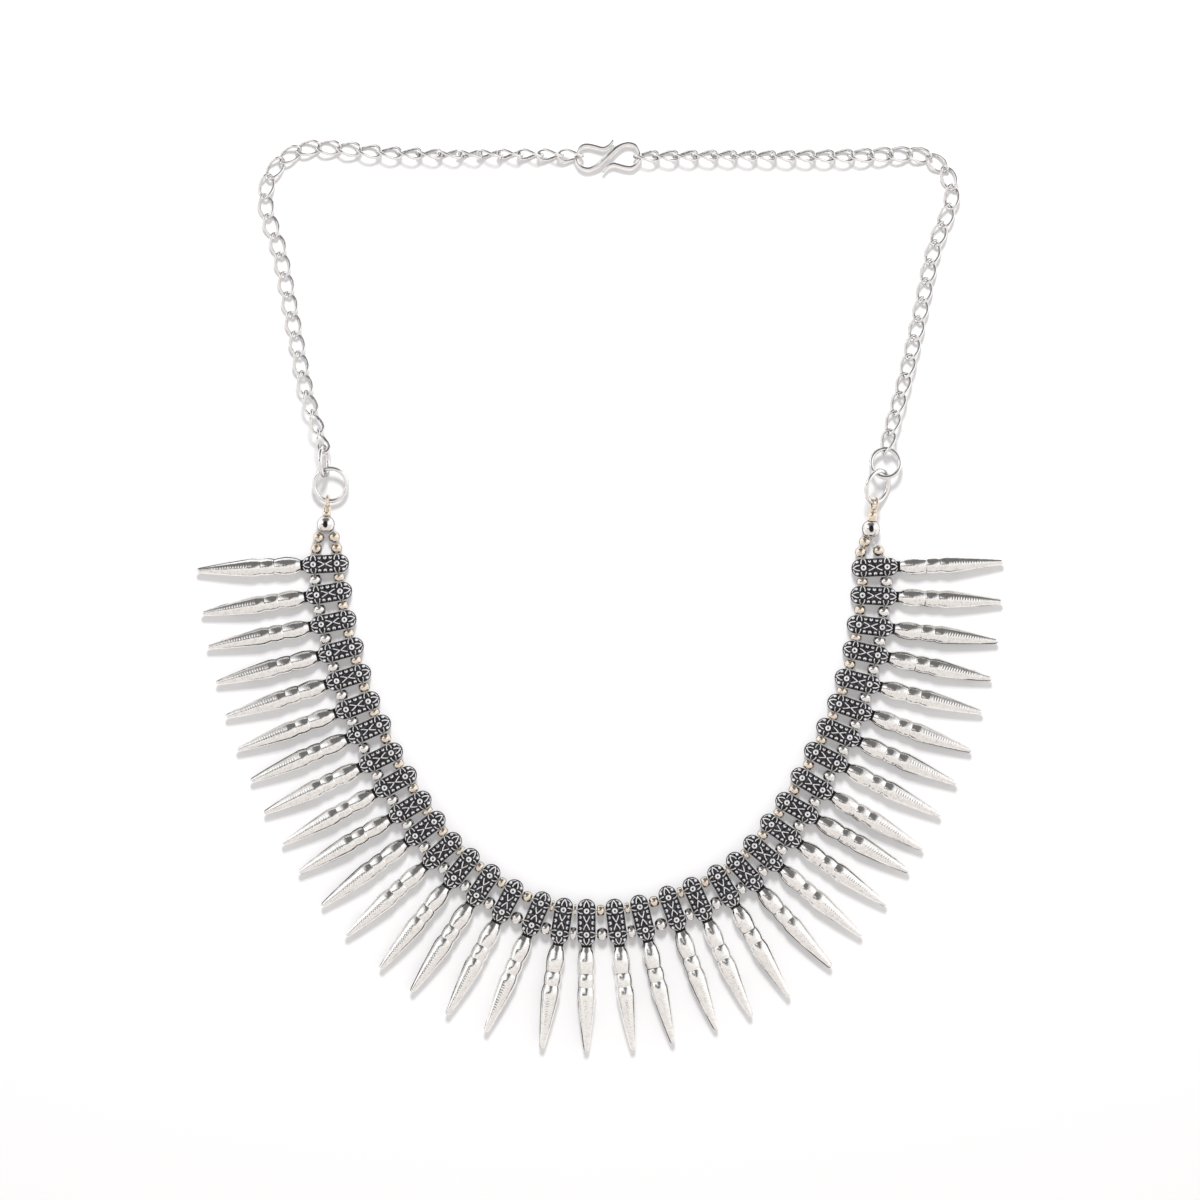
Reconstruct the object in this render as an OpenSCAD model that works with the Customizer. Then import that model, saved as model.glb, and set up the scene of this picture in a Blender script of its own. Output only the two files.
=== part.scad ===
// Tribal spike necklace, lying open on a flat surface.
// Millimetres. X runs across the necklace, Y from the spikes at the front up to the clasp, Z up.
// The origin is on the surface, under the middle of the necklace's own box.

/* [Spikes] */
// Length of a spike beyond its head
spike_len = 23.2; // [21.5:0.1:24.5]
// Length of the plain bud next to the head
bud_len = 6.1; // [5.6:0.1:6.6]
// Diameter of the bud at its middle
bud_d = 4.1; // [3.9:0.1:4.4]
// Length of the ring bead that follows the bud
ring_bead_len = 3; // [2.6:0.1:3.4]
// Diameter of the ring bead at its middle
ring_bead_d = 3.9; // [3.7:0.1:4.2]
// Diameter of the spike where its taper starts
shoulder_d = 4.1; // [4:0.1:4.3]
// Diameter of the blunt tip
tip_d = 1.3; // [1:0.1:1.5]

/* [Heads] */
// Length of the ornamented head
head_len = 10.35; // [10.05:0.1:10.85]
// Diameter of the head without its ornament
head_d = 4; // [3.8:0.1:4.1]
// Distance between the two thread holes
hole_gap = 5.2; // [5:0.1:5.4]
// Diameter of a thread hole
hole_d = 1; // [0.9:0.05:1.1]
// Height of the cast ornament above the head
relief = 0.14; // [0.1:0.01:0.2]
// Length of a petal, from the flower's middle to its point
petal_reach = 2.15; // [1.9:0.05:2.25]
// Diameter of the small balls along the head
grain_d = 0.76; // [0.6:0.02:0.84]

/* [Beads and thread] */
// Diameter of the spacer beads on the inner thread
inner_spacer_d = 2.5; // [2.2:0.1:2.8]
// Diameter of the spacer beads on the outer thread
outer_spacer_d = 2.8; // [2.4:0.1:2.9]
// Diameter of the small beads at both ends
small_bead_d = 2.5; // [2.2:0.1:2.5]
// Diameter of the large bead at both ends
large_bead_d = 3.9; // [3.5:0.1:3.9]
// Diameter of the thread
thread_d = 0.3; // [0.2:0.05:0.35]

/* [Chain] */
// Outer length of a link
link_len = 6.2; // [6.18:0.01:6.24]
// Outer width of a link
link_w = 3.8; // [3.75:0.05:3.85]
// Diameter of a link's wire
link_wire_d = 0.68; // [0.6:0.02:0.68]
// Turn of each link's ends out of its own plane
link_twist = 48; // [46:1:50]

/* [Rings and clasp] */
// Outer diameter of the jump rings next to the beads
lower_ring_d = 8.2; // [8.1:0.05:8.25]
// Outer diameter of the jump rings next to the chains
upper_ring_d = 7.4; // [7.3:0.05:7.5]
// Diameter of the jump rings' wire
ring_wire_d = 1; // [0.9:0.05:1.05]
// Diameter of the clasp's wire round its loops
hook_wire_d = 1; // [0.9:0.05:1.1]
// Diameter of the clasp's wire where it crosses its middle
hook_middle_d = 1.6; // [1.4:0.05:1.7]

/* [Hidden] */
spike_count = 36;
left_links = 30;
right_links = 31;

// Silver, the warmer silver of the spacer beads and end loops, and the thread
silver = [0.82, 0.82, 0.8];
warm_silver = [0.8, 0.74, 0.62];
cord_grey = [0.45, 0.42, 0.38];

// Height of the thread, the spikes' axes and the beads above the surface
thread_z = 1.7;
// Shift that brings the middle of the necklace's box over the origin
middle_shift = [-0.16, -0.56, 0];
// Space kept between pieces that touch on the real necklace
gap = 0.12;
// Overlap of shapes that are joined into one solid
joint = 0.3;

// The collar, seen from above, at every tenth part of its length from its left end to its right.
// Columns: place of the inner thread hole in X and in Y, direction of the spike's tip in degrees
collar = [
  [-58, 7.5, -176],
  [-54, -14, -163.5],
  [-45.5, -34, -154.5],
  [-34.5, -51.5, -140.5],
  [-19, -64.5, -118],
  [0.5, -69, -86],
  [20.5, -64, -65.5],
  [36, -52.5, -37],
  [47.5, -34, -27],
  [55.5, -15, -13.5],
  [58, 6.5, 2.5]
];
// Spikes that lie out of the even row. Columns: number of the spike, slide towards the next spike,
// slide towards its own tip, turn in degrees
uneven_spikes = [
  [1, 0, -0.3, -1],
  [2, 0, 0, 1.5],
  [4, 0, -0.4, 0],
  [5, -0.1, -0.3, 0],
  [7, -0.5, -0.1, 1],
  [8, 0, 0.3, 0],
  [10, 0.3, 0, -2],
  [12, 0.1, 0.3, -0.5],
  [13, -0.3, 0, 3],
  [14, -0.4, -0.2, 1.5],
  [16, 0.8, 0.2, -4],
  [17, 0.3, 0.4, 0.5],
  [18, -0.5, 0, 0],
  [20, -0.4, 0, 0.5],
  [21, 0.2, -0.2, 1.5],
  [23, 0.5, 0.2, -2],
  [24, 0.2, 0.3, 0.5],
  [26, 0.2, -0.3, -0.5],
  [27, 0, -0.2, 2],
  [28, -0.2, 0, -1],
  [32, 0, -0.4, 1.5],
  [33, 0.4, -0.2, -0.5],
  [35, 0.2, 0.3, -0.5]
];

// Route of each chain from the clasp to its ring.
// Columns: X, Y, height above where a link would rest, roll about the chain's own direction in degrees
left_route = [
  [-6.4, 97.2, 0.1, 130],
  [-20, 97.6, 0, 98],
  [-34, 97.6, 0, 72],
  [-48, 98, 0, 42],
  [-58, 99, 0, 13],
  [-65, 98.8, 0, 1],
  [-70, 96.1, 0, 1],
  [-73.1, 91.4, 0, 3],
  [-73.3, 85.3, 0, 0],
  [-70.4, 76, 0, -4],
  [-67.4, 60, 0, -4],
  [-64.6, 46, 0.7, -22],
  [-62.1, 37.8, 1.5, -46.5],
  [-61, 34.4, 1.8, -54]
];
right_route = [
  [10.3, 97.1, 0.1, 126],
  [24, 97.3, 0, 118],
  [38, 97.2, 0, 122],
  [54, 97.2, 0, 142],
  [65.5, 97.6, 0, 172],
  [71, 97.3, 0, 181],
  [75.7, 94.5, 0, 182],
  [77.6, 89.5, 0, 186],
  [76.5, 84.4, 0, 176],
  [73.4, 76, 0, 180],
  [70, 60, 0, 184],
  [66.6, 46, 0, 209],
  [64.5, 38.5, 0.2, 205.5],
  [63.4, 34.25, 0.4, 215.5]
];

// Half of the clasp's wire, from the clasp's middle round its right loop to the free tip
hook_middle = [1.9, 97.1, 1.5];
hook_half = [
  [0, 0], [1, 0.95], [2, 1.8], [3.2, 2.5], [4.5, 2.8], [5.8, 2.45], [6.7, 1.45], [7, 0],
  [6.5, -1.5], [5.3, -2.4], [3.9, -2.4], [2.5, -2.05], [1.2, -1.75], [0, -2.2], [-1.3, -3.7]
];

// Places of the rings: middle, tilt about the ring's long axis, rise of that axis and its direction
left_lower_place = [[-59.15, 24.8, 2.3], 0, 8, 90];
left_upper_place = [[-60.5, 29.95, 3.75], 78, -0.7, 91.5];
right_lower_place = [[61.05, 24.35, 3.45], 48, -2, 68];
right_upper_place = [[62.9, 29.5, 2.7], 2.5, -10, 90];

// Small beads from the collar towards the large bead, a row for each, and the large bead's place
left_inner_beads = [[-57.9, 10.8], [-58.4, 13.3]];
left_outer_beads = [[-62.3, 10.7], [-61.8, 13.2]];
left_large_place = [-60.2, 16.1];
right_inner_beads = [[57.5, 9.95], [58.37, 12.24]];
right_outer_beads = [[61.4, 10.3]];
right_large_place = [59.7, 15.1];
large_bead_z = large_bead_d / 2 + 0.05;
// Middles of the end loops' eyes
left_eye = [-59.8, 21.2, 1.8];
right_eye = [60.35, 20.75, 2.9];
// Distance of each thread from the middle of the large bead's hole, where both run side by side
thread_side = 0.21;
end_hole_d = 1.2;

// Points on a smooth curve through the rows of a table, with every column taken along
function row_at(rows, i) =
  i < 0 ? 2 * rows[0] - rows[1] :
  i > len(rows) - 1 ? 2 * rows[len(rows) - 1] - rows[len(rows) - 2] :
  rows[i];
function curve_between(a, b, c, d, t) =
  b + 0.5 * t * (c - a + t * (2 * a - 5 * b + 4 * c - d + t * (3 * (b - c) + d - a)));
function curve_at(rows, place) =
  let (i = min(floor(place), len(rows) - 2))
  curve_between(row_at(rows, i - 1), rows[i], rows[i + 1], row_at(rows, i + 2), place - i);

function unit(v) = v / norm(v);
function direction(angle) = [cos(angle), sin(angle), 0];
function lifted(p, z) = [p[0], p[1], z];

// The spikes' places
function unevenness(n) =
  let (found = [for (row = uneven_spikes) if (row[0] == n) row])
  len(found) > 0 ? found[0] : [n, 0, 0, 0];
function collar_row(n) = curve_at(collar, (n - 1) * (len(collar) - 1) / (spike_count - 1));
function along_collar(n) =
  let (next = collar_row(min(n + 1, spike_count)), last = collar_row(max(n - 1, 1)))
  unit(lifted(next - last, 0));
function heading(n) = collar_row(n)[2] + unevenness(n)[3];
function head_middle(n) =
  let (row = collar_row(n), along = along_collar(n), outward = cross(along, [0, 0, 1]))
  lifted(row, 0) + direction(row[2]) * hole_gap / 2
  + unevenness(n)[1] * along + unevenness(n)[2] * outward;
function inner_hole(n) = head_middle(n) - direction(heading(n)) * hole_gap / 2;
function outer_hole(n) = head_middle(n) + direction(heading(n)) * hole_gap / 2;
function spike_name(n) = str("spike_", n < 10 ? "0" : "", n);

// A tube of given radii swept through points, as rings of points in the order of the path.
// Each ring stands square to the path, with its first point on the side that guide names.
function ring_points(middle, along, guide, radius, sides) =
  let (u = unit(guide - (guide * along) * along), v = cross(along, u))
  [for (k = [0:sides - 1]) middle + radius * (cos(360 * k / sides) * u + sin(360 * k / sides) * v)];
function side_faces(from, to, sides) =
  [for (k = [0:sides - 1], half = [0, 1])
    let (a = from + k, b = from + (k + 1) % sides, c = to + (k + 1) % sides, d = to + k)
    half == 0 ? [a, c, b] : [a, d, c]];
function flat(lists) = [for (list = lists) each list];

module open_tube(path, radii, guide, sides) {
  last = len(path) - 1;
  points = flat([for (i = [0:last])
    let (along = unit(path[min(i + 1, last)] - path[max(i - 1, 0)]))
    ring_points(path[i], along, guide, radii[i], sides)]);
  walls = flat([for (i = [0:last - 1]) side_faces(i * sides, (i + 1) * sides, sides)]);
  first_end = [for (k = [0:sides - 1]) k];
  last_end = [for (k = [sides - 1:-1:0]) last * sides + k];
  polyhedron(points, concat(walls, [first_end, last_end]));
}

module closed_tube(path, radius, middle, sides) {
  count = len(path);
  points = flat([for (i = [0:count - 1])
    let (along = unit(path[(i + 1) % count] - path[(i + count - 1) % count]))
    ring_points(path[i], along, path[i] - middle, radius, sides)]);
  walls = flat([for (i = [0:count - 1])
    side_faces(i * sides, ((i + 1) % count) * sides, sides)]);
  polyhedron(points, walls);
}

// One chain link. Its wire runs round an oval whose two ends turn opposite ways out of its plane.
link_steps = 12;
link_sides = 6;
link_a = (link_len - link_wire_d) / 2;
link_b = (link_w - link_wire_d) / 2;
function squared(v) = sign(v) * pow(abs(v), 0.85);
function link_offset(k) =
  let (
    x = link_a * squared(cos(360 * k / link_steps)),
    y = link_b * squared(sin(360 * k / link_steps)),
    turn = link_twist * x / link_a
  ) [x, y * cos(turn), y * sin(turn)];
link_offsets = [for (k = [0:link_steps - 1]) link_offset(k)];
// Height of a link's middle when it lies just clear of the surface with a given roll
function link_rest(roll) =
  0.08 + link_wire_d / 2 - min([for (o = link_offsets) o[1] * sin(roll) + o[2] * cos(roll)]);

// Middles and rolls of the links, equally spaced along a route. Columns: X, Y, Z, roll
function route_points(route) =
  [for (i = [0:8 * (len(route) - 1)]) curve_at(route, i / 8)];
function route_sums(points) =
  [for (i = 0, sum = 0; i < len(points); sum = sum + (i + 1 < len(points) ?
    norm(lifted(points[i + 1], 0) - lifted(points[i], 0)) : 0), i = i + 1) sum];
function link_rows(route, links) =
  let (
    points = route_points(route),
    sums = route_sums(points),
    whole = sums[len(sums) - 1]
  )
  [for (i = [0:links - 1])
    let (row = [for (c = [0:3])
      lookup(whole * i / (links - 1), [for (j = [0:len(points) - 1]) [sums[j], points[j][c]]])])
    [row[0], row[1], row[2] + link_rest(row[3]), row[3]]];
function place_of(row) = [row[0], row[1], row[2]];

module chain(route, links) {
  rows = link_rows(route, links);
  for (i = [0:links - 1]) {
    middle = place_of(rows[i]);
    along = unit(place_of(rows[min(i + 1, links - 1)]) - place_of(rows[max(i - 1, 0)]));
    side = unit(cross([0, 0, 1], along));
    up = cross(along, side);
    roll = rows[i][3];
    across = side * cos(roll) + up * sin(roll);
    through = cross(along, across);
    path = [for (o = link_offsets) middle + o[0] * along + o[1] * across + o[2] * through];
    closed_tube(path, link_wire_d / 2, middle, link_sides);
  }
}

// Spike profile, with the radius in X and the length in Y from the inner thread hole
head_start = (hole_gap - head_len) / 2;
head_end = (hole_gap + head_len) / 2;
bud_end = head_end + bud_len;
ring_bead_end = bud_end + ring_bead_len;
shoulder_at = ring_bead_end + 1.9;
tip_at = head_end + spike_len;
neck_r = 1.2;
bud_end_r = 1.65;
ring_bead_end_r = 1.74;

// Radius of the taper, which swells a little between the shoulder (t = 0) and the tip (t = 1)
function taper_r(t) = (1 - t) * shoulder_d / 2 + t * tip_d / 2 + 0.36 * t * (1 - t);

// Half of a bulging length between two places, with the same radius at both of its ends.
// The bud is one whose end at the head is cut back to the neck.
module bulge(from, to, end_r, middle_r) {
  half = (to - from) / 2;
  rise = middle_r - end_r;
  bend_r = (half * half + rise * rise) / (2 * rise);
  intersection() {
    translate([middle_r - bend_r, from + half])
      circle(bend_r, $fn = 96);
    translate([0, from])
      square([middle_r, to - from]);
  }
}

module head_profile(radius) {
  intersection() {
    union() {
      for (y = [head_start + head_d / 2, head_end - head_d / 2])
        translate([0, y])
          circle(radius, $fn = 64);
      translate([0, head_start + head_d / 2])
        square([radius, head_len - head_d]);
    }
    translate([0, head_start - 1])
      square([radius + 1, head_len + 2]);
  }
}

module spike_profile() {
  head_profile(head_d / 2);
  translate([0, head_end - 1])
    square([neck_r, 1 + joint]);
  intersection() {
    bulge(head_end, bud_end, bud_end_r, bud_d / 2);
    polygon([
      [0, head_end],
      [neck_r - 0.1, head_end],
      [bud_d / 2 - 0.33, head_end + 1.3],
      [bud_d / 2 - 0.12, head_end + 2.4],
      [bud_d / 2 + 0.1, head_end + 4],
      [bud_d / 2 + 0.1, bud_end],
      [0, bud_end]
    ]);
  }
  translate([0, bud_end - joint])
    square([bud_end_r - 0.02, 2 * joint]);
  bulge(bud_end, ring_bead_end, ring_bead_end_r, ring_bead_d / 2);
  translate([0, ring_bead_end - joint])
    square([ring_bead_end_r - 0.02, 2 * joint]);
  bulge(ring_bead_end, 2 * shoulder_at - ring_bead_end, ring_bead_end_r, shoulder_d / 2);
  taper_end = tip_at - tip_d / 2;
  polygon(concat(
    [[0, taper_end], [0, shoulder_at]],
    [for (t = [0:0.25:1]) [taper_r(t), shoulder_at + (taper_end - shoulder_at) * t]]
  ));
  intersection() {
    translate([0, taper_end])
      circle(tip_d / 2, $fn = 32);
    translate([0, taper_end - tip_d / 2])
      square([tip_d, tip_d + 1]);
  }
}

module turned_along_x() {
  translate([0, 0, thread_z])
    rotate([0, 90, 0])
      rotate_extrude($fn = 64)
        children();
}

// A pointed leaf along X, made by two crossing arcs
module leaf(from, to, width) {
  long = to - from;
  bend_r = (long * long + width * width) / (4 * width);
  translate([(from + to) / 2, 0])
    intersection() {
      translate([0, bend_r - width / 2])
        circle(bend_r, $fn = 64);
      translate([0, width / 2 - bend_r])
        circle(bend_r, $fn = 64);
    }
}

module petal_outline() {
  rim = 0.26;
  difference() {
    leaf(0, petal_reach, 1.35);
    leaf(0, petal_reach - 2 * rim, 1.35 - 2 * rim);
    circle(0.85, $fn = 48);
  }
}

module flower_outline() {
  for (turn = [0:90:270])
    rotate(turn)
      petal_outline();
}

// The small balls: three along each side between the flowers, and two past each flower
grain_side = 1.38;
grain_places = concat(
  [for (x = [1.3, hole_gap / 2, hole_gap - 1.3], side = [-1, 1]) [x, side * grain_side]],
  [for (x = [-1.25, hole_gap + 1.25], side = [-1, 1]) [x, side * (grain_side - 0.1)]]
);

// Height above the axis at which a ball's middle sits on the round head
function seat_height(p) =
  let (past = max(head_start + head_d / 2 - p[0], p[0] - head_end + head_d / 2, 0))
  sqrt(max(pow(head_d / 2 - 0.05, 2) - p[1] * p[1] - past * past, 0.01));

module head_ornament() {
  boss_d = 1.2;
  intersection() {
    turned_along_x()
      head_profile(head_d / 2 + relief);
    translate([0, 0, thread_z + 0.6])
      linear_extrude(head_d)
        for (x = [0, hole_gap])
          translate([x, 0])
            flower_outline();
  }
  for (x = [0, hole_gap])
    translate([x, 0, thread_z + head_d / 2 - 0.32])
      sphere(d = boss_d, $fn = 32);
  for (p = grain_places)
    translate([p[0], p[1], thread_z + seat_height(p)])
      sphere(d = grain_d, $fn = 24);
}

module spike_solid() {
  difference() {
    union() {
      turned_along_x()
        spike_profile();
      head_ornament();
    }
    translate([head_start - 1, -head_d, -head_d])
      cube([head_len + spike_len + 2, 2 * head_d, head_d]);
    for (x = [0, hole_gap])
      translate([x, 0, thread_z])
        rotate([90, 0, 0])
          cylinder(h = 3 * head_d, d = hole_d, center = true, $fn = 32);
  }
}

module spike(n) {
  color(silver)
    translate(inner_hole(n))
      rotate([0, 0, heading(n)])
        spike_solid();
}

// A round bead drilled along X, cut flat at both ends
module drilled_bead(d, length, hole) {
  rotate([0, 90, 0])
    difference() {
      intersection() {
        sphere(d = d, $fn = 48);
        cylinder(h = length, d = 2 * d, center = true, $fn = 48);
      }
      cylinder(h = 2 * d, d = hole, center = true, $fn = 32);
    }
}

// Points X at a place and a direction in space
module aimed(place, along) {
  translate(place)
    rotate([0, -asin(along[2]), atan2(along[1], along[0])])
      children();
}

// Each spacer bead fills the space that its two heads leave it
module spacer(from, to, d) {
  length = min(norm(to - from) - head_d - 2 * (relief + gap + 0.04), d - 0.3);
  aimed(lifted((from + to) / 2, thread_z), unit(to - from))
    drilled_bead(d, length, hole_d);
}

module inner_spacer_beads() {
  color(warm_silver)
    for (n = [1:spike_count - 1])
      spacer(inner_hole(n), inner_hole(n + 1), inner_spacer_d);
}

module outer_spacer_beads() {
  color(silver)
    for (n = [1:spike_count - 1])
      spacer(outer_hole(n), outer_hole(n + 1), outer_spacer_d);
}

// Direction of an end loop, from its large bead's middle to its eye
function loop_along(large, eye) = unit(eye - lifted(large, large_bead_z));

// What a thread passes at one end: a hole, small beads, and the mouth of the large bead's hole
function end_stops(hole, beads, large, eye) =
  concat(
    [for (p = concat([hole], beads)) lifted(p, thread_z)],
    [lifted(large, large_bead_z) - loop_along(large, eye) * (large_bead_d / 2 + 0.05)]
  );
function bead_direction(stops, i) = unit(stops[i + 1] - stops[i - 1]);

module small_beads(stops) {
  for (i = [1:len(stops) - 2])
    aimed(stops[i], bead_direction(stops, i))
      drilled_bead(small_bead_d, small_bead_d - 0.35, end_hole_d);
}

left_inner_stops =
  end_stops(inner_hole(1), left_inner_beads, left_large_place, left_eye);
left_outer_stops =
  end_stops(outer_hole(1), left_outer_beads, left_large_place, left_eye);
right_inner_stops =
  end_stops(inner_hole(spike_count), right_inner_beads, right_large_place, right_eye);
right_outer_stops =
  end_stops(outer_hole(spike_count), right_outer_beads, right_large_place, right_eye);

module left_small_beads() {
  color(warm_silver) {
    small_beads(left_inner_stops);
    small_beads(left_outer_stops);
  }
}

module right_small_beads() {
  color(warm_silver) {
    small_beads(right_inner_stops);
    small_beads(right_outer_stops);
  }
}

// The end loops: an eye round the ring's wire, a stem, and a ferrule that takes the threads' ends
eye_wire_d = 0.74;
eye_r = 1.12;
left_eye_tilt = 84;
right_eye_tilt = -50;
function loop_length(large, eye) = norm(eye - lifted(large, large_bead_z));

module large_bead(large, eye) {
  aimed(lifted(large, large_bead_z), loop_along(large, eye))
    drilled_bead(large_bead_d, large_bead_d - 0.5, end_hole_d);
}

module left_large_bead() {
  color(silver)
    large_bead(left_large_place, left_eye);
}

module right_large_bead() {
  color(silver)
    large_bead(right_large_place, right_eye);
}

module end_loop(large, eye, eye_tilt, ferrule_d, ferrule_len) {
  reach = loop_length(large, eye);
  start = large_bead_d / 2 - 0.25 + gap;
  stem_wire_d = 0.8;
  stem_end = reach - eye_r;
  aimed(lifted(large, large_bead_z), loop_along(large, eye)) {
    difference() {
      union() {
        translate([start, 0, 0])
          rotate([0, 90, 0])
            cylinder(h = ferrule_len, d = ferrule_d, $fn = 48);
        for (side = [-1, 1])
          translate([start + ferrule_len - joint, side * 0.43, 0])
            rotate([0, 90, 0])
              cylinder(h = stem_end - start - ferrule_len + joint, d = stem_wire_d, $fn = 32);
      }
      translate([start - 1, 0, 0])
        rotate([0, 90, 0])
          cylinder(h = 1 + ferrule_len - joint - 0.1, d = end_hole_d, $fn = 32);
    }
    translate([reach, 0, 0])
      rotate([eye_tilt, 0, 0])
        rotate_extrude($fn = 64)
          translate([eye_r, 0])
            circle(d = eye_wire_d, $fn = 24);
  }
}

module left_end_loop() {
  color(warm_silver)
    end_loop(left_large_place, left_eye, left_eye_tilt, 1.9, 0.9);
}

module right_end_loop() {
  color(warm_silver)
    end_loop(right_large_place, right_eye, right_eye_tilt, 2.1, 1.9);
}

// A thread: out of one ferrule, down its beads, through every head, and up into the other ferrule
function ferrule_points(large, eye, side) =
  let (
    along = loop_along(large, eye),
    across = unit(cross(along, [0, 0, 1])) * side * thread_side,
    middle = lifted(large, large_bead_z)
  )
  [for (x = [large_bead_d / 2 + 0.25, -large_bead_d / 2 - 0.05]) middle + along * x + across];
function bead_points(stops, i) =
  let (half = bead_direction(stops, i) * (small_bead_d / 2 - 0.35))
  [stops[i] - half, stops[i] + half];
function reversed(list) = [for (i = [len(list) - 1:-1:0]) list[i]];
// Where the thread leaves the outermost head, at the mouth of its hole
function hole_mouth(stops, n) =
  let (turn = n == 1 ? -90 : 90)
  [stops[0] + direction(heading(n) + turn) * (head_d / 2 + relief)];
function end_points(stops, large, eye, side, n) =
  concat(
    hole_mouth(stops, n),
    [for (i = [1:len(stops) - 2]) each bead_points(stops, i)],
    reversed(ferrule_points(large, eye, side))
  );

module thread(holes, left_end, right_end) {
  path = concat(reversed(left_end), holes, right_end);
  open_tube(path, [for (p = path) thread_d / 2], [0, 0, 1], 8);
}

module inner_thread() {
  color(cord_grey)
    thread(
      [for (n = [1:spike_count]) lifted(inner_hole(n), thread_z)],
      end_points(left_inner_stops, left_large_place, left_eye, 1, 1),
      end_points(right_inner_stops, right_large_place, right_eye, -1, spike_count)
    );
}

module outer_thread() {
  color(cord_grey)
    thread(
      [for (n = [1:spike_count]) lifted(outer_hole(n), thread_z)],
      end_points(left_outer_stops, left_large_place, left_eye, -1, 1),
      end_points(right_outer_stops, right_large_place, right_eye, 1, spike_count)
    );
}

// A closed round ring, first turned about its long axis
module jump_ring(outer_d, place) {
  translate(place[0])
    rotate([place[1], -place[2], place[3]])
      rotate_extrude($fn = 96)
        translate([(outer_d - ring_wire_d) / 2, 0])
          circle(d = ring_wire_d, $fn = 32);
}

module left_lower_ring() {
  color(silver)
    jump_ring(lower_ring_d, left_lower_place);
}

module right_lower_ring() {
  color(silver)
    jump_ring(lower_ring_d, right_lower_place);
}

module left_upper_ring() {
  color(silver)
    jump_ring(upper_ring_d, left_upper_place);
}

module right_upper_ring() {
  color(silver)
    jump_ring(upper_ring_d, right_upper_place);
}

module left_chain() {
  color(silver)
    chain(left_route, left_links);
}

module right_chain() {
  color(silver)
    chain(right_route, right_links);
}

// The clasp: one bent wire, the same when turned half round, thicker where it crosses its middle
module s_hook() {
  half_steps = 2 * (len(hook_half) - 1);
  half = [for (i = [0:half_steps]) curve_at(hook_half, i / 2)];
  path = concat(
    [for (i = [half_steps:-1:1]) hook_middle - lifted(half[i], 0)],
    [for (p = half) hook_middle + lifted(p, 0)]
  );
  radii = [for (i = [-half_steps:half_steps])
    lookup(abs(i), [
      [0, hook_middle_d / 2],
      [3, hook_middle_d / 2 - 0.05],
      [7, hook_wire_d / 2],
      [half_steps - 4, hook_wire_d / 2],
      [half_steps, hook_wire_d / 2 - 0.15]
    ])];
  color(silver)
    open_tube(path, radii, [0, 0, 1], 8);
}

module placed() {
  translate(middle_shift)
    children();
}

for (n = [1:spike_count])
  placed() spike(n);
placed() inner_spacer_beads();
placed() outer_spacer_beads();
placed() inner_thread();
placed() outer_thread();
placed() left_small_beads();
placed() right_small_beads();
placed() left_large_bead();
placed() right_large_bead();
placed() left_end_loop();
placed() right_end_loop();
placed() left_lower_ring();
placed() right_lower_ring();
placed() left_upper_ring();
placed() right_upper_ring();
placed() left_chain();
placed() right_chain();
placed() s_hook();
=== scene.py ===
"""Looks of the spike necklace: detailed meshes for its pieces, silver finishes, light, floor and camera.
Sizes are millimetres in the frame of the CAD model, meshes are made in metres, and angles are in degrees."""
import math
import bpy
import numpy as np
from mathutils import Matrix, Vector


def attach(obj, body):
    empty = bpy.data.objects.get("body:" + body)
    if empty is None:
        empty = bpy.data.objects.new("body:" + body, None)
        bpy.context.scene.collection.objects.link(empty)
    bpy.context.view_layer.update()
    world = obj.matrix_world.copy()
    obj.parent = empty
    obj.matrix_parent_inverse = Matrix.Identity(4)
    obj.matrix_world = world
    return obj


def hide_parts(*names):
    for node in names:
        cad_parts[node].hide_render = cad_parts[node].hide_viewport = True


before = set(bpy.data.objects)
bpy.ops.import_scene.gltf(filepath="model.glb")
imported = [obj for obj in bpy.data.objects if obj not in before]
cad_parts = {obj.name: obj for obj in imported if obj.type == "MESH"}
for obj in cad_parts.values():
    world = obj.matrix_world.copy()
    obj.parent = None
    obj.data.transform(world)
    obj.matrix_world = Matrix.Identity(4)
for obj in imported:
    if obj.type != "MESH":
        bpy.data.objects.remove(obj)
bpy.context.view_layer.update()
scene = bpy.context.scene
MM = 0.001
# The shift that centres the CAD model
SHIFT = np.array([-0.16, -0.56, 0.0])

# Sizes of a spike along its axis, from the hole of the inner thread, as in the CAD model
SPIKES = 36
THREAD_Z = 1.7
HOLE_GAP = 5.2
HEAD_LEN, HEAD_R = 10.35, 2.0
HEAD_START, HEAD_END = (HOLE_GAP - HEAD_LEN) / 2, (HOLE_GAP + HEAD_LEN) / 2
CORE_START, CORE_END = HEAD_START + HEAD_R, HEAD_END - HEAD_R
BUD_END = HEAD_END + 6.1
RING_END = BUD_END + 3.0
SHOULDER = RING_END + 1.9
TIP = HEAD_END + 23.2
TAPER_END = TIP - 0.65

# Radii of a spike, a hair inside the solid. The bud's start has its radii at distances behind the head
NECK_R = 1.19
NECK_PLACES = [0, 0.21, 1.3, 2.4, 4]
NECK_RADII = [1.2, 1.2, 1.72, 1.93, 2.15]
BUD_R, BUD_END_R = 2.04, 1.65
RING_R, RING_END_R = 1.94, 1.74
SHOULDER_R, TIP_R = 2.04, 0.64
TAPER_SWELL = 0.34

# The collar: X and Y along the inner thread, and the way that a spike points there
COLLAR = np.array([
    [-58, 7.5, -176], [-54, -14, -163.5], [-45.5, -34, -154.5], [-34.5, -51.5, -140.5],
    [-19, -64.5, -118], [0.5, -69, -86], [20.5, -64, -65.5], [36, -52.5, -37],
    [47.5, -34, -27], [55.5, -15, -13.5], [58, 6.5, 2.5]], float)
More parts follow.
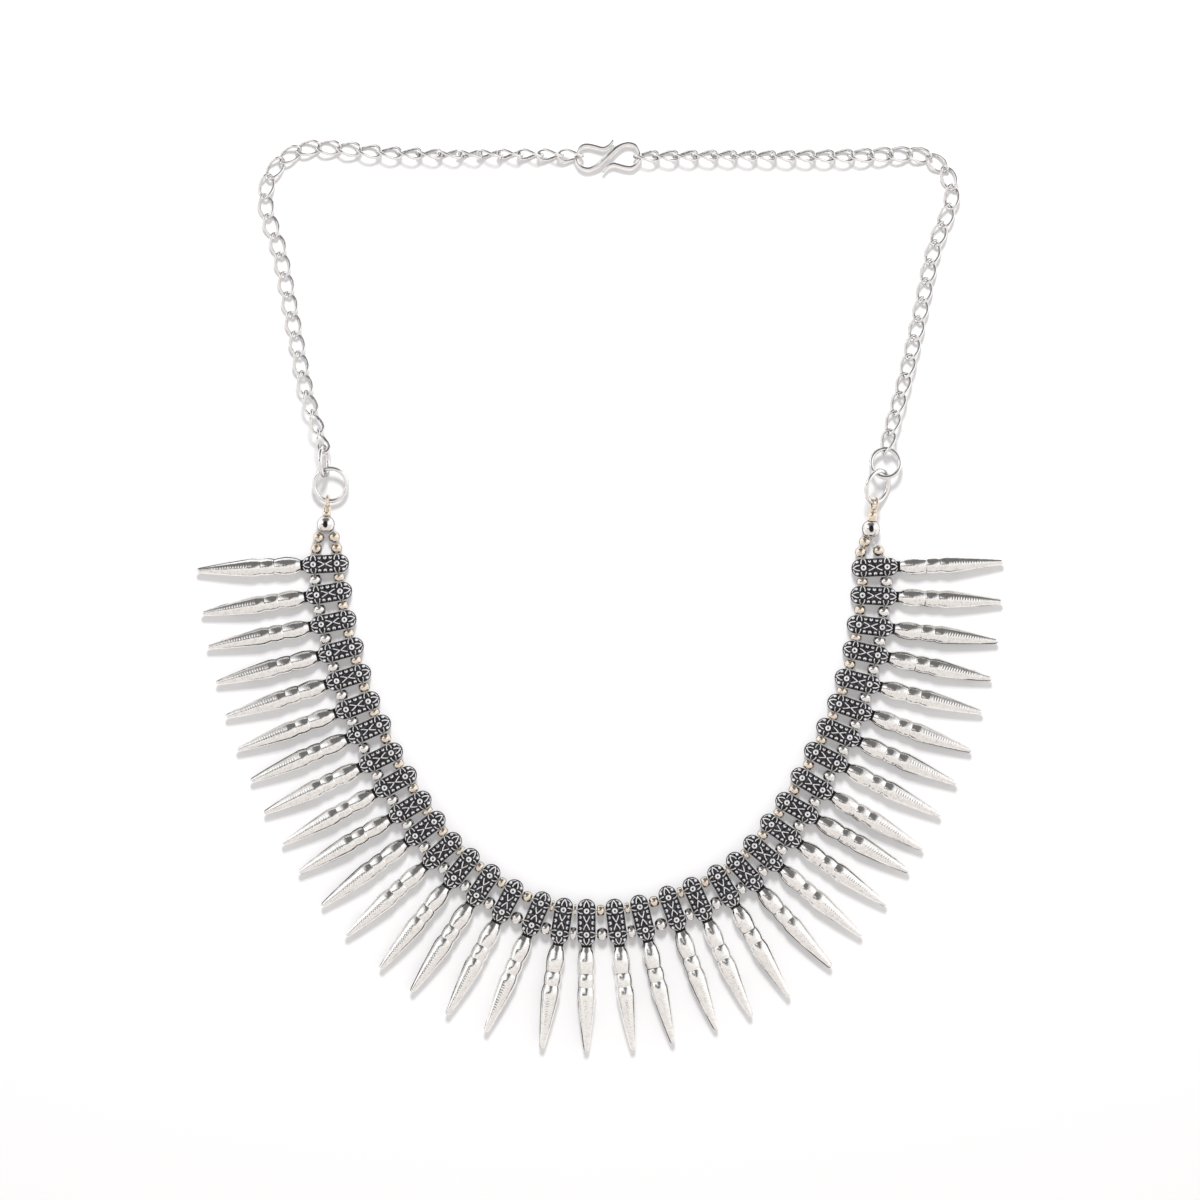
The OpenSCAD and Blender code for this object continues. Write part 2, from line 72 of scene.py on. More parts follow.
# Spikes out of the even row: slide towards the next spike, slide towards the own tip, turn
UNEVEN = {
    1: (0, -0.3, -1), 2: (0, 0, 1.5), 4: (0, -0.4, 0), 5: (-0.1, -0.3, 0), 7: (-0.5, -0.1, 1),
    8: (0, 0.3, 0), 10: (0.3, 0, -2), 12: (0.1, 0.3, -0.5), 13: (-0.3, 0, 3), 14: (-0.4, -0.2, 1.5),
    16: (0.8, 0.2, -4), 17: (0.3, 0.4, 0.5), 18: (-0.5, 0, 0), 20: (-0.4, 0, 0.5), 21: (0.2, -0.2, 1.5),
    23: (0.5, 0.2, -2), 24: (0.2, 0.3, 0.5), 26: (0.2, -0.3, -0.5), 27: (0, -0.2, 2), 28: (-0.2, 0, -1),
    32: (0, -0.4, 1.5), 33: (0.4, -0.2, -0.5), 35: (0.2, 0.3, -0.5)}

# The chains' routes: X, Y, height over the surface, and roll of the links
LEFT_ROUTE = [
    [-6.4, 97.2, 0.1, 130], [-20, 97.6, 0, 98], [-34, 97.6, 0, 72], [-48, 98, 0, 42],
    [-58, 99, 0, 13], [-65, 98.8, 0, 1], [-70, 96.1, 0, 1], [-73.1, 91.4, 0, 3],
    [-73.3, 85.3, 0, 0], [-70.4, 76, 0, -4], [-67.4, 60, 0, -4], [-64.6, 46, 0.7, -22],
    [-62.1, 37.8, 1.5, -46.5], [-61, 34.4, 1.8, -54]]
RIGHT_ROUTE = [
    [10.3, 97.1, 0.1, 126], [24, 97.3, 0, 118], [38, 97.2, 0, 122], [54, 97.2, 0, 142],
    [65.5, 97.6, 0, 172], [71, 97.3, 0, 181], [75.7, 94.5, 0, 182], [77.6, 89.5, 0, 186],
    [76.5, 84.4, 0, 176], [73.4, 76, 0, 180], [70, 60, 0, 184], [66.6, 46, 0, 209],
    [64.5, 38.5, 0.2, 205.5], [63.4, 34.25, 0.4, 215.5]]
LEFT_LINKS, RIGHT_LINKS = 30, 31
LINK_LEN, LINK_W, LINK_WIRE, LINK_TWIST = 6.2, 3.8, 0.68, 48

# The clasp: its middle, and one half of its wire from there
HOOK_MIDDLE = np.array([1.9, 97.1, 1.5])
HOOK_HALF = np.array([
    [0, 0], [1, 0.95], [2, 1.8], [3.2, 2.5], [4.5, 2.8], [5.8, 2.45], [6.7, 1.45], [7, 0],
    [6.5, -1.5], [5.3, -2.4], [3.9, -2.4], [2.5, -2.05], [1.2, -1.75], [0, -2.2], [-1.3, -3.7]], float)

# The jump rings: outer diameter, middle, tilt about the ring's long axis, rise of that axis and its direction
RINGS = {
    "left_lower_ring": (8.2, [-59.15, 24.8, 2.3], 0, 8, 90),
    "left_upper_ring": (7.4, [-60.5, 29.95, 3.75], 78, -0.7, 91.5),
    "right_lower_ring": (8.2, [61.05, 24.35, 3.45], 48, -2, 68),
    "right_upper_ring": (7.4, [62.9, 29.5, 2.7], 2.5, -10, 90)}
RING_WIRE = 1.0

# The beads, and the ends of the collar. A ferrule is given by its diameter and length
LARGE_D, SMALL_D, INNER_D, OUTER_D = 3.9, 2.5, 2.5, 2.8
SPACER_HOLE, END_HOLE = 1.0, 1.2
SPACER_GAP, FERRULE_GAP = 0.3, 0.12
# What is cut off each end of a bead
LARGE_CUT, SMALL_CUT, SPACER_CUT = 0.25, 0.175, 0.15
LARGE_Z = LARGE_D / 2 + 0.05
ENDS = {
    "left": {"inner": [[-57.9, 10.8], [-58.4, 13.3]], "outer": [[-62.3, 10.7], [-61.8, 13.2]],
             "large": [-60.2, 16.1], "eye": [-59.8, 21.2, 1.8], "tilt": 84, "ferrule": (1.9, 0.9)},
    "right": {"inner": [[57.5, 9.95], [58.37, 12.24]], "outer": [[61.4, 10.3]],
              "large": [59.7, 15.1], "eye": [60.35, 20.75, 2.9], "tilt": -50, "ferrule": (2.1, 1.9)}}
SIDES = ("left", "right")
EYE_R, EYE_WIRE = 1.12, 0.74
STEM_R, STEM_APART = 0.385, 0.43
THREAD_R = 0.145

UP = (0, 0, 1)


# Curves, turns and other small helpers
def row_at(rows, i):
    """A row of a table, or one row beyond its ends in a straight line."""
    last = len(rows) - 1
    if i < 0:
        return 2 * rows[0] - rows[1]
    if i > last:
        return 2 * rows[last] - rows[last - 1]
    return rows[i]


def curve_at(rows, place):
    """A point on the smooth curve through the rows of a table, as in the CAD source."""
    i = int(min(math.floor(place), len(rows) - 2))
    t = place - i
    a, b, c, d = row_at(rows, i - 1), rows[i], rows[i + 1], row_at(rows, i + 2)
    return b + 0.5 * t * (c - a + t * (2 * a - 5 * b + 4 * c - d + t * (3 * (b - c) + d - a)))


def curve_points(rows, steps):
    """Points on the smooth curve, with so many steps from one row to the next."""
    return [curve_at(rows, i / steps) for i in range(steps * (len(rows) - 1) + 1)]


def unit(vector):
    vector = np.asarray(vector, float)
    return vector / np.linalg.norm(vector)


def ramp_up(value, low, high):
    """0 below low, 1 above high, and a straight rise between them."""
    return np.clip((value - low) / (high - low), 0.0, 1.0)


def bell(distance, width):
    return math.exp(-(distance / width) ** 2)


def round_angles(sides):
    """Equal angles round a circle, in radians."""
    return np.arange(sides) * 2 * math.pi / sides


def circle(radius, sides):
    """Points of a circle in the XY plane."""
    k = round_angles(sides)
    return np.stack([radius * np.cos(k), radius * np.sin(k), 0 * k], 1)


def turn(x=0.0, y=0.0, z=0.0):
    """Rotation matrix for turns about X, then Y, then Z."""
    x, y, z = (math.radians(angle) for angle in (x, y, z))
    about_x = np.array([[1, 0, 0], [0, math.cos(x), -math.sin(x)], [0, math.sin(x), math.cos(x)]])
    about_y = np.array([[math.cos(y), 0, math.sin(y)], [0, 1, 0], [-math.sin(y), 0, math.cos(y)]])
    about_z = np.array([[math.cos(z), -math.sin(z), 0], [math.sin(z), math.cos(z), 0], [0, 0, 1]])
    return about_z @ about_y @ about_x


def aim(along):
    """Rotation that points X along a direction."""
    x, y, z = unit(along)
    return turn(0, -math.degrees(math.asin(z)), math.degrees(math.atan2(y, x)))


def direction(angle):
    return np.array([math.cos(math.radians(angle)), math.sin(math.radians(angle)), 0])


def lifted(place, z):
    return np.array([place[0], place[1], z], float)


# Meshes
class Build:
    """Collects points and faces of one piece, with a material number a face and a painted-shade value a
    point.
    """

    def __init__(self):
        self.points, self.faces, self.numbers, self.dark = [], [], [], []
        self.count = 0

    def add(self, points, faces, material=0, dark=0.0):
        points = np.asarray(points, float)
        self.points.append(points)
        self.faces += [tuple(k + self.count for k in face) for face in faces]
        self.numbers += [material] * len(faces)
        self.dark.append(np.broadcast_to(np.asarray(dark, float), (len(points),)))
        self.count += len(points)

    def moved(self, matrix, place):
        other = Build()
        other.points = [p @ matrix.T + np.asarray(place, float) for p in self.points]
        other.faces, other.numbers, other.dark, other.count = self.faces, self.numbers, self.dark, self.count
        return other

    def join(self, other):
        self.points += other.points
        self.faces += [tuple(k + self.count for k in face) for face in other.faces]
        self.numbers += other.numbers
        self.dark += other.dark
        self.count += other.count

    def piece(self, name, nodes, materials, slot):
        mesh = bpy.data.meshes.new(name)
        mesh.from_pydata(((np.concatenate(self.points) + SHIFT) * MM).tolist(), [], self.faces)
        mesh.polygons.foreach_set("material_index", self.numbers)
        mesh.polygons.foreach_set("use_smooth", [True] * len(self.faces))
        # the painted shade of each point, which darkens the silver towards near black
        layer = mesh.attributes.new("painted_shade", "FLOAT", "POINT")
        layer.data.foreach_set("value", np.concatenate(self.dark).astype(np.float32))
        for material in materials:
            mesh.materials.append(material)
        mesh.validate()
        mesh.update()
        piece = bpy.data.objects.new(name, mesh)
        scene.collection.objects.link(piece)
        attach(piece, "root")
        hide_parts(*nodes)


def grid_faces(rows, cols, closed_rows=False):
    """Faces between rows of points that each run round once. Closed rows also join the last to the first."""
    faces = []
    for i in range(rows if closed_rows else rows - 1):
        for k in range(cols):
            a, b = i * cols + k, i * cols + (k + 1) % cols
            j = (i + 1) % rows
            c, d = j * cols + (k + 1) % cols, j * cols + k
            faces.append((a, b, c, d))
    return faces


def capped_faces(rows, cols):
    """The same, with a flat face at both ends."""
    ends = [tuple(range(cols - 1, -1, -1)), tuple(range((rows - 1) * cols, rows * cols))]
    return grid_faces(rows, cols) + ends


# The two small rings that round off a wire's end: how far out and how wide, as shares of the wire's radius
OUTER_RING_OUT, OUTER_RING_WIDE = 0.75, 0.3
INNER_RING_OUT, INNER_RING_WIDE = 0.45, 0.8


def rounded_ends(path, along, radius):
    """A wire's places and radii with two small rings more at each end."""
    tip0, tip1 = -along[:1], along[-1:]
    r0, r1 = radius[0], radius[-1]
    path = np.concatenate([path[:1] + tip0 * r0 * OUTER_RING_OUT, path[:1] + tip0 * r0 * INNER_RING_OUT, path,
                           path[-1:] + tip1 * r1 * INNER_RING_OUT, path[-1:] + tip1 * r1 * OUTER_RING_OUT])
    radius = np.concatenate([[r0 * OUTER_RING_WIDE, r0 * INNER_RING_WIDE], radius,
                             [r1 * INNER_RING_WIDE, r1 * OUTER_RING_WIDE]])
    return path, radius


def flank(rise, start, full):
    """Painted shade low on a round form: none where its surface faces up by start or more, all below full."""
    return ramp_up(-rise, -start, -full)


def tube(build, path, radius, sides, closed=False, material=0, dark=0.0, guide=UP, low=0.0):
    """A wire along a path, with rounded ends unless it is closed. The first side of its section points to the
    guide. Dark is painted shade, one value or one a side, and low adds painted shade on the wire's flanks."""
    path = np.asarray(path, float)
    radius = np.broadcast_to(np.asarray(radius, float), (len(path),)).copy()
    if closed:
        along = np.roll(path, -1, 0) - np.roll(path, 1, 0)
    else:
        along = np.gradient(path, axis=0)
    along /= np.linalg.norm(along, axis=1)[:, None]
    guide = np.broadcast_to(np.asarray(guide, float), path.shape)
    u = guide - (guide * along).sum(1)[:, None] * along
    u /= np.linalg.norm(u, axis=1)[:, None]
    v = np.cross(along, u)
    if not closed:
        path, radius = rounded_ends(path, along, radius)
        u = np.concatenate([u[:1], u[:1], u, u[-1:], u[-1:]])
        v = np.concatenate([v[:1], v[:1], v, v[-1:], v[-1:]])
    k = round_angles(sides)
    outward = np.cos(k)[None, :, None] * u[:, None] + np.sin(k)[None, :, None] * v[:, None]
    points = path[:, None] + radius[:, None, None] * outward
    rows = len(path)
    faces = grid_faces(rows, sides, True) if closed else capped_faces(rows, sides)
    if np.ndim(dark) == 1:
        dark = np.tile(dark, rows)
    if low:
        dark = np.maximum(dark, low * flank(outward[:, :, 2].ravel(), 0.88, 0.4))
    build.add(points.reshape(-1, 3), faces, material, dark)


def ball(build, centre, axis, radius, rings, sides, pit=0.0, flat=1.0):
    """A ball of the heads' relief, flattened along its axis if asked, with a pit at the axis's end."""
    pit_width = 0.34
    t = np.linspace(0, math.pi, rings + 1)
    r = np.sin(t) * radius
    z = np.cos(t) * radius * flat
    if pit:
        upper = t < 1.5
        z = z - pit * np.exp(-(r / (pit_width * radius)) ** 2) * upper
    r[0] = r[-1] = 0.001
    k = round_angles(sides)
    points = np.stack([r[:, None] * np.cos(k), r[:, None] * np.sin(k), z[:, None] + 0 * k], -1)
    out = unit(axis)
    side = unit(np.cross(out, [1, 0, 0] if abs(out[0]) < 0.9 else [0, 1, 0]))
    basis = np.stack([side, np.cross(out, side), out], 1)
    dark = np.zeros((rings + 1) * sides)
    # painted shade in the pit
    if pit:
        dark[:sides], dark[sides:2 * sides] = 0.9, 0.5
    faces = [tuple(reversed(f)) for f in grid_faces(rings + 1, sides)]
    build.add(points.reshape(-1, 3) @ basis.T + np.asarray(centre, float), faces, RELIEF_NUMBER, dark)


def revolve(build, rows, sides):
    """A closed profile turned about X. Its rows hold X, radius and painted shade."""
    x, radius, dark = np.array(rows, float).T
    k = round_angles(sides)
    points = np.stack([x[:, None] + 0 * k, radius[:, None] * np.cos(k), radius[:, None] * np.sin(k)], -1)
    faces = [tuple(reversed(f)) for f in grid_faces(len(x), sides, True)]
    build.add(points.reshape(-1, 3), faces, 0, np.repeat(dark, sides))


def smooth_noise(points, scale, seed):
    """Smooth value noise in -1..1 at points, with cells of the given size."""
    p = np.asarray(points, float) / scale + seed * 17.31
    base = np.floor(p).astype(int)
    t = p - base
    t = t * t * (3 - 2 * t)
    out = np.zeros(len(p))
    for dx in (0, 1):
        for dy in (0, 1):
            for dz in (0, 1):
                cell = base + [dx, dy, dz]
                # the usual sine hash of a cell's corner
                h = np.sin(cell[:, 0] * 127.1 + cell[:, 1] * 311.7 + cell[:, 2] * 74.7 + seed) * 43758.5453
                weight = (np.where(dx, t[:, 0], 1 - t[:, 0]) * np.where(dy, t[:, 1], 1 - t[:, 1])
                          * np.where(dz, t[:, 2], 1 - t[:, 2]))
                out += weight * (2 * (h - np.floor(h)) - 1)
    return out


# Shader nodes
def nodes_of(name):
    material = bpy.data.materials.new(name)
    material.use_nodes = True
    tree = material.node_tree
    shader = tree.nodes["Principled BSDF"]
    return material, tree, shader


def object_coords(tree):
    return tree.nodes.new("ShaderNodeTexCoord").outputs["Object"]


def noise_node(tree, coords, scale, detail, rough):
    noise = tree.nodes.new("ShaderNodeTexNoise")
    noise.inputs["Scale"].default_value = scale
    noise.inputs["Detail"].default_value = detail
    noise.inputs["Roughness"].default_value = rough
    tree.links.new(coords, noise.inputs["Vector"])
    return noise.outputs["Fac"]


def ramp(tree, value, stops):
    """A colour ramp. Its stops are greys or colours at places from 0 to 1."""
    node = tree.nodes.new("ShaderNodeValToRGB")
    elements = node.color_ramp.elements
    while len(elements) < len(stops):
        elements.new(0.5)
    for element, (place, colour) in zip(elements, stops):
        element.position = place
        element.color = (*colour, 1) if isinstance(colour, (tuple, list)) else (colour, colour, colour, 1)
    tree.links.new(value, node.inputs["Fac"])
    return node.outputs["Color"]


def feed(tree, socket, value):
    """Gives a socket what another node puts out, a colour or a number."""
    if hasattr(value, "is_output"):
        tree.links.new(value, socket)
    elif isinstance(value, (tuple, list)):
        socket.default_value = (*value, 1)
    else:
        socket.default_value = value


def mix(tree, kind, share, first, second):
    node = tree.nodes.new("ShaderNodeMix")
    node.data_type = "RGBA"
    node.blend_type = kind
    feed(tree, node.inputs["Factor"], share)
    feed(tree, node.inputs["A"], first)
    feed(tree, node.inputs["B"], second)
    return node.outputs["Result"]


def maths(tree, kind, *values):
    node = tree.nodes.new("ShaderNodeMath")
    node.operation = kind
    for socket, value in zip(node.inputs, values):
        feed(tree, socket, value)
    return node.outputs[0]


def blend(tree, first, second, share):
    """A sum of two values, with the given share of the first."""
    part = maths(tree, "MULTIPLY", first, share)
    rest = maths(tree, "MULTIPLY", second, 1 - share)
    return maths(tree, "ADD", part, rest)


def bumped(tree, shader, height, strength, distance):
    node = tree.nodes.new("ShaderNodeBump")
    node.inputs["Strength"].default_value = strength
    node.inputs["Distance"].default_value = distance
    tree.links.new(height, node.inputs["Height"])
    tree.links.new(node.outputs["Normal"], shader.inputs["Normal"])


# Materials
# The near-black colour and the roughness of painted shade
PAINTED_SHADE_COLOUR = (0.035, 0.033, 0.035)
PAINTED_SHADE_ROUGH = (0.6, 0.6, 0.6)


def silver(name, bright, dull, patch, rough, bump, metal=1.0):
    """Antiqued silver: bright metal with duller patches, fine pits, and painted shade where the mesh says so.
    """
    material, tree, shader = nodes_of(name)
    coords = object_coords(tree)
    large = noise_node(tree, coords, 1100, 4, 0.6)
    fine = noise_node(tree, coords, 3200, 3, 0.6)
    tone = ramp(tree, blend(tree, large, fine, 0.55), [(patch - 0.09, dull), (patch + 0.05, bright)])
    # the mesh's painted shade, broken up by fine grain
    painted_shade_node = tree.nodes.new("ShaderNodeAttribute")
    painted_shade_node.attribute_name = "painted_shade"
    grain = maths(tree, "MULTIPLY", maths(tree, "SUBTRACT", fine, 0.5), 0.8)
    mask = ramp(tree, maths(tree, "ADD", painted_shade_node.outputs["Fac"], grain), [(0.36, 0.0), (0.62, 1.0)])
    tree.links.new(mix(tree, "MIX", mask, tone, PAINTED_SHADE_COLOUR), shader.inputs["Base Color"])
    gloss = ramp(tree, fine, [(0.3, rough[0]), (0.7, rough[1])])
    tree.links.new(mix(tree, "MIX", mask, gloss, PAINTED_SHADE_ROUGH), shader.inputs["Roughness"])
    shader.inputs["Metallic"].default_value = metal
    bumped(tree, shader, blend(tree, large, fine, 0.6), bump, 0.00025)
    return material


def oxide():
    """The black ground of the heads, dull and slightly rough, with a few rubbed points."""
    material, tree, shader = nodes_of("oxidised_silver")
    fine = noise_node(tree, object_coords(tree), 2600, 4, 0.65)
    ground = ramp(tree, fine, [(0.5, (0.02, 0.02, 0.024)), (0.72, (0.16, 0.155, 0.165))])
    tree.links.new(ground, shader.inputs["Base Color"])
    tree.links.new(ramp(tree, fine, [(0.4, 0.62), (0.75, 0.35)]), shader.inputs["Roughness"])
    shader.inputs["Metallic"].default_value = 0.7
    bumped(tree, shader, fine, 0.4, 0.0002)
    return material


def thread_finish():
    """Twisted grey beading thread."""
    material, tree, shader = nodes_of("beading_thread")
    wave = tree.nodes.new("ShaderNodeTexWave")
    wave.inputs["Scale"].default_value = 900
    wave.inputs["Distortion"].default_value = 1.5
    tree.links.new(object_coords(tree), wave.inputs["Vector"])
    strands = ramp(tree, wave.outputs["Fac"], [(0.2, (0.42, 0.38, 0.34)), (0.8, (0.68, 0.64, 0.6))])
    tree.links.new(strands, shader.inputs["Base Color"])
    shader.inputs["Roughness"].default_value = 0.7
    bumped(tree, shader, wave.outputs["Fac"], 0.4, 0.00005)
    return material


CAST = silver("cast_silver", bright=(0.96, 0.95, 0.93), dull=(0.8, 0.79, 0.775),
              patch=0.46, rough=(0.08, 0.17), bump=0.2)
RELIEF = silver("raised_silver", bright=(0.8, 0.8, 0.81), dull=(0.5, 0.5, 0.52),
                patch=0.46, rough=(0.25, 0.4), bump=0.1, metal=0.6)
WIRE = silver("wire_silver", bright=(0.9, 0.89, 0.88), dull=(0.78, 0.775, 0.77),
              patch=0.43, rough=(0.06, 0.13), bump=0.05)
BEAD = silver("bead_silver", bright=(0.9, 0.88, 0.86), dull=(0.74, 0.715, 0.69),
              patch=0.45, rough=(0.07, 0.16), bump=0.08)
WARM = silver("warm_silver", bright=(0.88, 0.79, 0.67), dull=(0.7, 0.58, 0.44),
              patch=0.47, rough=(0.1, 0.22), bump=0.1)
OXIDE = oxide()
THREAD = thread_finish()
SPIKE_MATERIALS = [CAST, OXIDE, RELIEF]
CAST_NUMBER, OXIDE_NUMBER, RELIEF_NUMBER = 0, 1, 2


# The heads: a dark round-ended body with a raised pattern
BOSS_R, BOSS_FLAT, BOSS_PIT = 0.64, 0.5, 0.3
STROKE_STEP = 0.24
PETAL_PLACES = (0, 0.3, 0.6, 0.85, 1.0)
SCALLOP = ((13, 2.28), (27, 2.2), (40, 2.12))


def head_radius(x):
    past = np.maximum(np.maximum(CORE_START - x, x - CORE_END), 0)
    return np.sqrt(np.maximum(HEAD_R ** 2 - past ** 2, 0.0))


def seat(x, y, lift):
    """The point on the round head above a place in plan, and the way out of the surface there."""
    core = np.clip(x, CORE_START, CORE_END)
    edge = HEAD_R * 0.985
    distance = np.hypot(x - core, y)
    if distance > edge:
        share = edge / distance
        x, y = core + (x - core) * share, y * share
    out = unit([x - core, y, math.sqrt(max(HEAD_R ** 2 - (x - core) ** 2 - y ** 2, 1e-4))])
    return np.array([core, 0, THREAD_Z]) + out * (HEAD_R + lift), out


def stroke(build, plan, radius, lift=0.05):
    """A raised line on the head along points in plan."""
    plan = np.asarray(plan, float)
    steps = max(3, int(np.linalg.norm(np.diff(plan, axis=0), axis=1).sum() / STROKE_STEP))
    rows = [curve_at(plan, (len(plan) - 1) * i / steps) for i in range(steps + 1)]
    places, ways = zip(*[seat(x, y, lift) for x, y in rows])
    tube(build, places, radius, 6, material=RELIEF_NUMBER, guide=ways)


def petal(build, centre, angle, foot, point, width, full, radius=0.125):
    """The outline of one petal: two lines from its foot that meet in a point, blunter with a higher full."""
    c, s = math.cos(angle), math.sin(angle)
    for side in (-1, 1):
        plan = []
        for t in PETAL_PLACES:
            d = foot + (point - foot) * t
            w = side * width * (1 - t ** full)
            plan.append([centre + d * c - w * s, d * s + w * c])
        stroke(build, plan, radius)


def scallop(build, centre, outward, side):
    """A line round one quarter of the head's end."""
    plan = []
    for angle, distance in SCALLOP:
        a = math.radians(angle)
        plan.append([centre + outward * distance * math.cos(a), side * distance * math.sin(a)])
    stroke(build, plan, 0.11, 0.02)


def relief_ball(build, x, y, lift, radius, sides, pit):
    place, out = seat(x, y, lift)
    ball(build, place, out, radius, 6, sides, pit)


def head_relief(build):
    """Two flowers with a boss each, chevrons between them, small balls, and scallops round both ends."""
    for centre, outward in ((0.0, -1), (HOLE_GAP, 1)):
        place, out = seat(centre, 0.0, -0.06)
        ball(build, place, out, BOSS_R, 8, 18, BOSS_PIT, BOSS_FLAT)
        away = math.pi if outward < 0 else 0.0
        for side in (-1, 1):
            petal(build, centre, side * math.pi / 2, 0.92, 2.05, 0.54, 2.6)
            relief_ball(build, centre + outward * 1.36, side * 1.28, -0.02, 0.36, 10, 0.0)
            scallop(build, centre, outward, side)
        petal(build, centre, away, 0.9, 2.2, 0.56, 2.0, 0.135)
        petal(build, centre, math.pi - away, 1.15, 2.43, 0.62, 1.3)
    for x, radius in ((1.38, 0.37), (HOLE_GAP / 2, 0.43), (HOLE_GAP - 1.38, 0.37)):
        for side in (-1, 1):
            relief_ball(build, x, side * 1.36, 0.0, radius, 12, 0.1)


# Sections of a spike have their points closer together at the top, by this much in radians
SPIKE_SIDES = 36
CROWDING = 0.25
SPIKE_ANGLES = round_angles(SPIKE_SIDES) - CROWDING * np.sin(round_angles(SPIKE_SIDES))
# The same angles from the top, below zero on the side where the spike gets its heavier painted edge shade
FROM_TOP = np.angle(np.exp(1j * SPIKE_ANGLES))


def section(x, radius):
    """A round section of a spike, cut flat at the back."""
    y = radius * np.sin(SPIKE_ANGLES)
    z = np.maximum(THREAD_Z + radius * np.cos(SPIKE_ANGLES), 0.0)
    return np.stack([np.full_like(y, x), y, z], 1)


def head_template():
    """The head with its relief, shared by all spikes."""
    build = Build()
    rounding = HEAD_R * (1 - np.cos(np.linspace(0.02, 0.5 * math.pi, 8)))
    places = np.concatenate([HEAD_START + rounding,
                             np.linspace(CORE_START, CORE_END, 16)[1:-1],
                             (HEAD_END - rounding)[::-1]])
    points = np.concatenate([section(x, head_radius(x)) for x in places])
    build.add(points, capped_faces(len(places), SPIKE_SIDES), OXIDE_NUMBER)
    head_relief(build)
    return build


# The plain part of a spike: bud, ring bead, shoulder, taper and tip
RIB_PITCH, RIB_HEIGHT, RIB_SHADE = 0.58, 0.03, 0.16
SEAM_DEPTH, SEAM_WIDTH = 0.05, 0.09
BODY_PLACES = np.concatenate([
    HEAD_END + np.array([-0.45, -0.1, 0.04, 0.12, 0.26]),
    np.linspace(HEAD_END + 0.45, BUD_END - 0.3, 20),
    BUD_END + np.array([-0.16, -0.07, 0, 0.07, 0.16]),
    np.linspace(BUD_END + 0.3, RING_END - 0.3, 11),
    RING_END + np.array([-0.15, 0, 0.15]),
    np.linspace(RING_END + 0.35, SHOULDER, 7),
    np.linspace(SHOULDER, TAPER_END, 92)[1:],
    TAPER_END + 0.63 * np.sin(np.linspace(0.2, 1.5, 6))])


def bulge_radius(x, start, end, end_r, middle_r):
    """Radius on an arc that swells from its end radius to its middle radius."""
    half = (end - start) / 2
    rise = middle_r - end_r
    bend = (half * half + rise * rise) / (2 * rise)
    return middle_r - bend + math.sqrt(max(bend * bend - (x - start - half) ** 2, 0.0))


def body_radius(x):
    """Radius of the spike beyond its head, as in the CAD source."""
    if x <= HEAD_END:
        return NECK_R
    if x < BUD_END:
        neck = np.interp(x - HEAD_END, NECK_PLACES, NECK_RADII)
        return min(bulge_radius(x, HEAD_END, BUD_END, BUD_END_R, BUD_R), neck) - 0.01
    if x < RING_END:
        return bulge_radius(x, BUD_END, RING_END, RING_END_R, RING_R)
    if x < SHOULDER:
        return bulge_radius(x, RING_END, 2 * SHOULDER - RING_END, RING_END_R, SHOULDER_R)
    if x > TAPER_END:
        return math.sqrt(max(TIP_R ** 2 - (x - TAPER_END) ** 2, 0.0))
    t = (x - SHOULDER) / (TAPER_END - SHOULDER)
    return (1 - t) * SHOULDER_R + t * TIP_R + TAPER_SWELL * t * (1 - t)


def rib_strength(x, radius):
    """How strong the ribs are round the section at x: a narrow band on top of the taper, with faded ends."""
    along = min(max((x - SHOULDER) / (TIP - SHOULDER), 0.0), 1.0)
    band = 0.68 * (1 - along) ** 0.7 / max(radius, 0.4)
    fade = ramp_up(x, SHOULDER + 0.4, SHOULDER + 1.2) * ramp_up(-along, -0.8, -0.55)
    return fade / (1 + (np.abs(FROM_TOP) / max(band, 0.05)) ** 6)


def edge_painted_shade(radius, heavy, light):
    """Painted shade and dark reflection along the two edges of the spike, heavy on one side and light on the
    other.
    """
    rim = math.asin(max(1 - 0.23 / max(radius, 0.24), 0.0))
    heavy_side = heavy * ramp_up(-FROM_TOP, rim - 0.06, rim + 0.08)
    return heavy_side + light * ramp_up(FROM_TOP, rim + 0.14, rim + 0.3)


def seam_painted_shade(x):
    """Painted shade in the neck, in the line behind the bud and in the one behind the ring bead."""
    neck = 0.9 * ramp_up(-x, -HEAD_END - 0.42, -HEAD_END - 0.22)
    behind_bud = bell(x - BUD_END, 0.085) * (0.6 * ramp_up(-FROM_TOP, -0.4, 0.7) + 0.12)
    behind_ring = bell(x - RING_END, 0.1) * 0.5 * ramp_up(-FROM_TOP, 0.2, 0.9)
    return np.maximum(neck, np.maximum(behind_bud, behind_ring))


def uneven(points, dark, seed):
    """Soft casting unevenness in and out along the surface, and patches in the painted shade."""
    axis = np.stack([points[:, 0], 0 * points[:, 0], np.full(len(points), THREAD_Z)], 1)
    out = points - axis
    out /= np.maximum(np.linalg.norm(out, axis=1), 0.2)[:, None]
    key = points * [0.7, 1, 1] + seed * 3.7
    wobble = 0.016 * smooth_noise(key, 1.7, seed) + 0.005 * smooth_noise(key, 0.8, seed + 5)
    wobble = np.where(points[:, 2] < 0.05, 0.0, wobble - 0.02)
    points = points + out * wobble[:, None]
    points[:, 2] = np.maximum(points[:, 2], 0.0)
    dark = dark + 0.3 * smooth_noise(key * [0.5, 1, 1], 1.1, seed + 9) * (dark > 0.1)
    return points, dark


